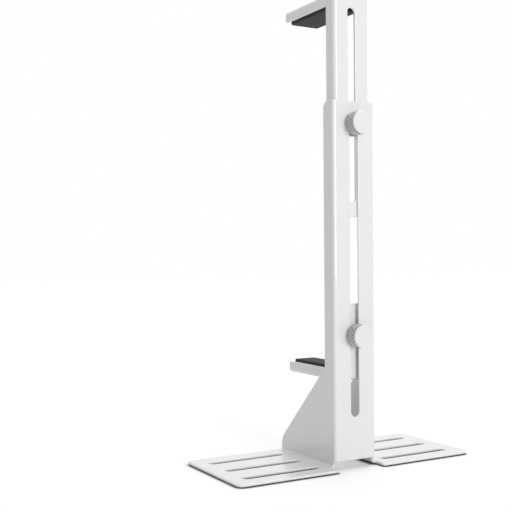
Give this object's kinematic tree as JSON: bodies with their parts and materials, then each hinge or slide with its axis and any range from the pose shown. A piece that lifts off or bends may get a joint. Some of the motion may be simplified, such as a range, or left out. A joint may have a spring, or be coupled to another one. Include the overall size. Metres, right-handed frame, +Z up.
{
  "type": "graphics card support bracket",
  "caption": "Free-standing support bracket for a graphics card: slotted upright on two slotted feet, height-adjustable shelf and clamp arm locked by knurled thumbscrews.",
  "frame": {"origin": "middle of the foot slot pattern, on the underside of the feet", "axes": "+Z up, +Y from the face of the upright towards the free ends of the arms, +X to the right of someone who faces the bracket"},
  "size_m": [0.123, 0.0524, 0.2098],
  "materials": {
    "white_coated_steel": "semi-gloss white powder coat on folded steel sheet",
    "white_coated_knob": "semi-gloss white coat on a knurled steel knob",
    "zinc_plated_steel": "bright zinc plating",
    "white_nylon": "plain white nylon washer",
    "black_rubber": "matt black rubber"
  },
  "bodies": {
    "base": {"base_bracket": "white_coated_steel", "upper_nut_plate": "zinc_plated_steel"},
    "post": {"upper_post": "white_coated_steel", "clamp_pad": "black_rubber"},
    "shelf": {"shelf_arm": "white_coated_steel", "shelf_pad": "black_rubber", "shelf_clinch_nut": "zinc_plated_steel", "shelf_spacer": "zinc_plated_steel"},
    "upper_clamp_washer": {"upper_washer": "white_nylon"},
    "upper_thumbscrew": {"upper_thumbscrew_knob": "white_coated_knob", "upper_thumbscrew_stud": "zinc_plated_steel"},
    "lower_clamp_washer": {"lower_washer": "white_nylon"},
    "lower_thumbscrew": {"lower_thumbscrew_knob": "white_coated_knob", "lower_thumbscrew_stud": "zinc_plated_steel"}
  },
  "joints": [
    {"name": "post_slide", "type": "slide", "parent": "base", "child": "post", "axis": [0, 0, 1], "range_m": [-0.024, 0.0325]},
    {"name": "shelf_slide", "type": "slide", "parent": "base", "child": "shelf", "axis": [0, 0, 1], "range_m": [-0.0335, 0.024]},
    {"name": "upper_washer_travel", "type": "slide", "parent": "base", "child": "upper_clamp_washer", "axis": [0, -1, 0], "range_m": [0, 0.00159]},
    {"name": "upper_thumbscrew_turn", "type": "hinge", "parent": "upper_clamp_washer", "child": "upper_thumbscrew", "pos_m": [0, -0.02, 0.1518], "axis": [0, -1, 0], "range_deg": [0, 720]},
    {"name": "lower_washer_travel", "type": "slide", "parent": "shelf", "child": "lower_clamp_washer", "axis": [0, -1, 0], "range_m": [0, 0.00159]},
    {"name": "lower_thumbscrew_turn", "type": "hinge", "parent": "lower_clamp_washer", "child": "lower_thumbscrew", "pos_m": [0, -0.02, 0.0583], "axis": [0, -1, 0], "range_deg": [0, 720]}
  ],
  "couplings": [
    {"joint": "upper_thumbscrew_turn", "follows": "upper_washer_travel", "rad_per_m": 7913.3},
    {"joint": "lower_thumbscrew_turn", "follows": "lower_washer_travel", "rad_per_m": 7913.3}
  ]
}
